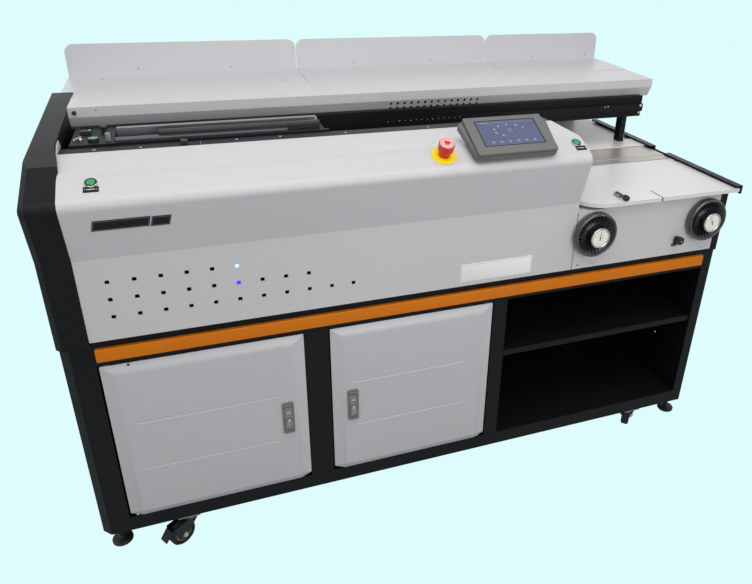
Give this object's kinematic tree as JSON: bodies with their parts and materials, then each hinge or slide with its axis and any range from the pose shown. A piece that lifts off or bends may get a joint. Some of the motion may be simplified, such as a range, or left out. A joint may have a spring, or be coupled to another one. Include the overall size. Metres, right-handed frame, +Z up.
{
  "type": "perfect binding machine",
  "caption": "Floor-standing perfect binding machine: sliding book clamp over cutter and glue tank, cover nipping table with hand wheels, cabinet base with doors, on castors.",
  "frame": {"origin": "on the floor, under the centre of the overall bounding box", "axes": "+X along the machine to its right end, +Y to its back, +Z up"},
  "size_m": [1.96, 0.928, 1.287],
  "materials": {
    "frame_black": "fine texture powder coat, near black",
    "cover_grey": "satin powder coat, light grey",
    "door_grey": "satin powder coat, grey",
    "strip_orange": "gloss powder coat, orange",
    "zinc_plated": "zinc plated steel",
    "jaw_aluminium": "anodised, brushed",
    "nip_steel": "ground tool steel",
    "black_steel": "blackened steel",
    "black_plastic": "moulded, fine grain",
    "gloss_black": "polished moulding",
    "panel_grey": "moulded ABS, grey",
    "button_green": "translucent green cap",
    "stop_red": "moulded red",
    "collar_black": "moulded collar",
    "lock_chrome": "chrome plated zinc",
    "castor_rubber": "black tread",
    "table_grey": "satin powder coat",
    "motor_grey": "cast housing, painted"
  },
  "bodies": {
    "cabinet": {"left_side_frame": "frame_black", "right_side_frame": "frame_black", "bottom_tray": "frame_black", "centre_posts": "frame_black", "top_deck": "frame_black", "back_panels": "frame_black", "bay_shelf": "frame_black", "accent_strip": "strip_orange", "left_side_cover": "frame_black", "front_cover": "cover_grey", "hand_wheel_panel": "cover_grey", "right_end_cover": "frame_black", "feed_table": "table_grey", "nip_jaw_front": "nip_steel", "rear_table": "table_grey", "rear_beam": "black_steel", "top_shelf": "cover_grey", "back_plates": "cover_grey", "carriage_rails": "black_steel", "milling_motor": "motor_grey", "glue_tank": "jaw_aluminium", "drive_motor": "motor_grey", "button_collars": "collar_black", "panel_bracket": "black_plastic", "power_inlet": "black_plastic", "levelling_feet": "black_plastic", "castor_plates": "zinc_plated", "castor_forks_rear": "zinc_plated", "control_panel": "panel_grey"},
    "door_left": {"left_door": "door_grey", "door_lock_left": "lock_chrome"},
    "door_right": {"right_door": "door_grey", "door_lock_right": "lock_chrome"},
    "lever_left": {"lock_lever_left": "lock_chrome"},
    "lever_right": {"lock_lever_right": "lock_chrome"},
    "clamp": {"clamp_carriage": "black_steel", "rear_jaw": "jaw_aluminium"},
    "clamp_front_jaw": {"front_jaw": "jaw_aluminium", "jaw_guard_bar": "black_plastic"},
    "cutter": {"milling_cutter": "zinc_plated"},
    "glue_roller_a": {"glue_roller_first": "jaw_aluminium"},
    "glue_roller_b": {"glue_roller_second": "jaw_aluminium"},
    "platen": {"nip_platen": "black_steel"},
    "nip_jaw": {"nip_jaw_rear": "nip_steel"},
    "start_button_left": {"start_cap_left": "button_green"},
    "start_button_right": {"start_cap_right": "button_green"},
    "emergency_stop": {"estop_head": "stop_red"},
    "wheel_left": {"hand_wheel_left": "gloss_black"},
    "wheel_right": {"hand_wheel_right": "gloss_black"},
    "knob": {"lock_knob": "black_plastic"},
    "guide": {"side_guide": "black_steel"},
    "lay_stop": {"front_lay_stop": "zinc_plated"},
    "castor_front_left": {"castor_fork_left": "zinc_plated"},
    "castor_front_right": {"castor_fork_right": "zinc_plated"},
    "castor_wheel_fl": {"castor_wheel_front_left": "castor_rubber"},
    "castor_wheel_fr": {"castor_wheel_front_right": "castor_rubber"},
    "castor_wheel_rl": {"castor_wheel_rear_left": "castor_rubber"},
    "castor_wheel_rr": {"castor_wheel_rear_right": "castor_rubber"},
    "pedal_left": {"brake_pedal_left": "black_plastic"},
    "pedal_right": {"brake_pedal_right": "black_plastic"}
  },
  "joints": [
    {"name": "door_left_hinge", "type": "hinge", "parent": "cabinet", "child": "door_left", "pos_m": [-0.8845, -0.398, 0.4], "axis": [0, 0, -1], "range_deg": [0, 100]},
    {"name": "door_right_hinge", "type": "hinge", "parent": "cabinet", "child": "door_right", "pos_m": [0.1445, -0.398, 0.4], "axis": [0, 0, 1], "range_deg": [0, 100]},
    {"name": "lever_left_lift", "type": "hinge", "parent": "door_left", "child": "lever_left", "pos_m": [-0.457, -0.422, 0.429], "axis": [-1, 0, 0], "range_deg": [0, 35]},
    {"name": "lever_right_lift", "type": "hinge", "parent": "door_right", "child": "lever_right", "pos_m": [-0.272, -0.422, 0.429], "axis": [-1, 0, 0], "range_deg": [0, 35]},
    {"name": "clamp_travel", "type": "slide", "parent": "cabinet", "child": "clamp", "axis": [1, 0, 0], "range_m": [0, 1.15]},
    {"name": "clamp_close", "type": "slide", "parent": "clamp", "child": "clamp_front_jaw", "axis": [0, 1, 0], "range_m": [0, 0.028]},
    {"name": "cutter_spin", "type": "hinge", "parent": "cabinet", "child": "cutter", "pos_m": [-0.13, -0.079, 0.94], "axis": [0, 0, 1], "continuous": true},
    {"name": "glue_roller_a_spin", "type": "hinge", "parent": "cabinet", "child": "glue_roller_a", "pos_m": [0.092, -0.064, 0.917], "axis": [0, 1, 0], "continuous": true},
    {"name": "glue_roller_b_spin", "type": "hinge", "parent": "cabinet", "child": "glue_roller_b", "pos_m": [0.198, -0.064, 0.917], "axis": [0, 1, 0], "continuous": true},
    {"name": "platen_lift", "type": "slide", "parent": "cabinet", "child": "platen", "axis": [0, 0, 1], "range_m": [0, 0.008]},
    {"name": "nip_close", "type": "slide", "parent": "cabinet", "child": "nip_jaw", "axis": [0, 1, 0], "range_m": [-0.0025, 0.015]},
    {"name": "guide_shift", "type": "slide", "parent": "cabinet", "child": "guide", "axis": [1, 0, 0], "range_m": [0, 0.03]},
    {"name": "wheel_left_turn", "type": "hinge", "parent": "cabinet", "child": "wheel_left", "pos_m": [0.463, -0.404, 0.845], "axis": [0, 1, 0], "range_deg": [-450, 2700]},
    {"name": "wheel_right_turn", "type": "hinge", "parent": "cabinet", "child": "wheel_right", "pos_m": [0.868, -0.404, 0.845], "axis": [0, 1, 0], "range_deg": [0, 5400]},
    {"name": "knob_turn", "type": "hinge", "parent": "cabinet", "child": "knob", "pos_m": [0.777, -0.404, 0.785], "axis": [0, 1, 0], "range_deg": [0, 180]},
    {"name": "lay_stop_shift", "type": "slide", "parent": "cabinet", "child": "lay_stop", "axis": [0, 1, 0], "range_m": [0, 0.025]},
    {"name": "start_left_press", "type": "slide", "parent": "cabinet", "child": "start_button_left", "axis": [0, 0.4472, -0.8944], "range_m": [0, 0.003], "stiffness_N_per_m": 300, "springref_m": -0.002},
    {"name": "start_right_press", "type": "slide", "parent": "cabinet", "child": "start_button_right", "axis": [0, 0.4472, -0.8944], "range_m": [0, 0.003], "stiffness_N_per_m": 300, "springref_m": -0.002},
    {"name": "stop_press", "type": "slide", "parent": "cabinet", "child": "emergency_stop", "axis": [0, 0.4472, -0.8944], "range_m": [0, 0.005]},
    {"name": "castor_left_swivel", "type": "hinge", "parent": "cabinet", "child": "castor_front_left", "pos_m": [-0.755, -0.374, 0.08], "axis": [0, 0, 1], "continuous": true},
    {"name": "castor_left_roll", "type": "hinge", "parent": "castor_front_left", "child": "castor_wheel_fl", "pos_m": [-0.78193, -0.39129, 0.0375], "axis": [0.5402, -0.8415, 0], "continuous": true},
    {"name": "pedal_left_press", "type": "hinge", "parent": "castor_front_left", "child": "pedal_left", "pos_m": [-0.80549, -0.40641, 0.069], "axis": [0.5402, -0.8415, 0], "range_deg": [0, 12]},
    {"name": "castor_rear_left_roll", "type": "hinge", "parent": "cabinet", "child": "castor_wheel_rl", "pos_m": [-0.723, 0.434, 0.0375], "axis": [0, 1, 0], "continuous": true},
    {"name": "castor_right_swivel", "type": "hinge", "parent": "cabinet", "child": "castor_front_right", "pos_m": [0.755, -0.374, 0.08], "axis": [0, 0, 1], "continuous": true},
    {"name": "castor_right_roll", "type": "hinge", "parent": "castor_front_right", "child": "castor_wheel_fr", "pos_m": [0.77763, -0.35137, 0.0375], "axis": [-0.7071, 0.7071, 0], "continuous": true},
    {"name": "pedal_right_press", "type": "hinge", "parent": "castor_front_right", "child": "pedal_right", "pos_m": [0.79743, -0.33157, 0.069], "axis": [-0.7071, 0.7071, 0], "range_deg": [0, 12]},
    {"name": "castor_rear_right_roll", "type": "hinge", "parent": "cabinet", "child": "castor_wheel_rr", "pos_m": [0.787, 0.434, 0.0375], "axis": [0, 1, 0], "continuous": true}
  ],
  "couplings": [
    {"joint": "glue_roller_b_spin", "follows": "glue_roller_a_spin", "ratio": 1},
    {"joint": "nip_close", "follows": "wheel_left_turn", "m_per_rad": 0.00031831},
    {"joint": "guide_shift", "follows": "wheel_right_turn", "m_per_rad": 0.00031831}
  ]
}
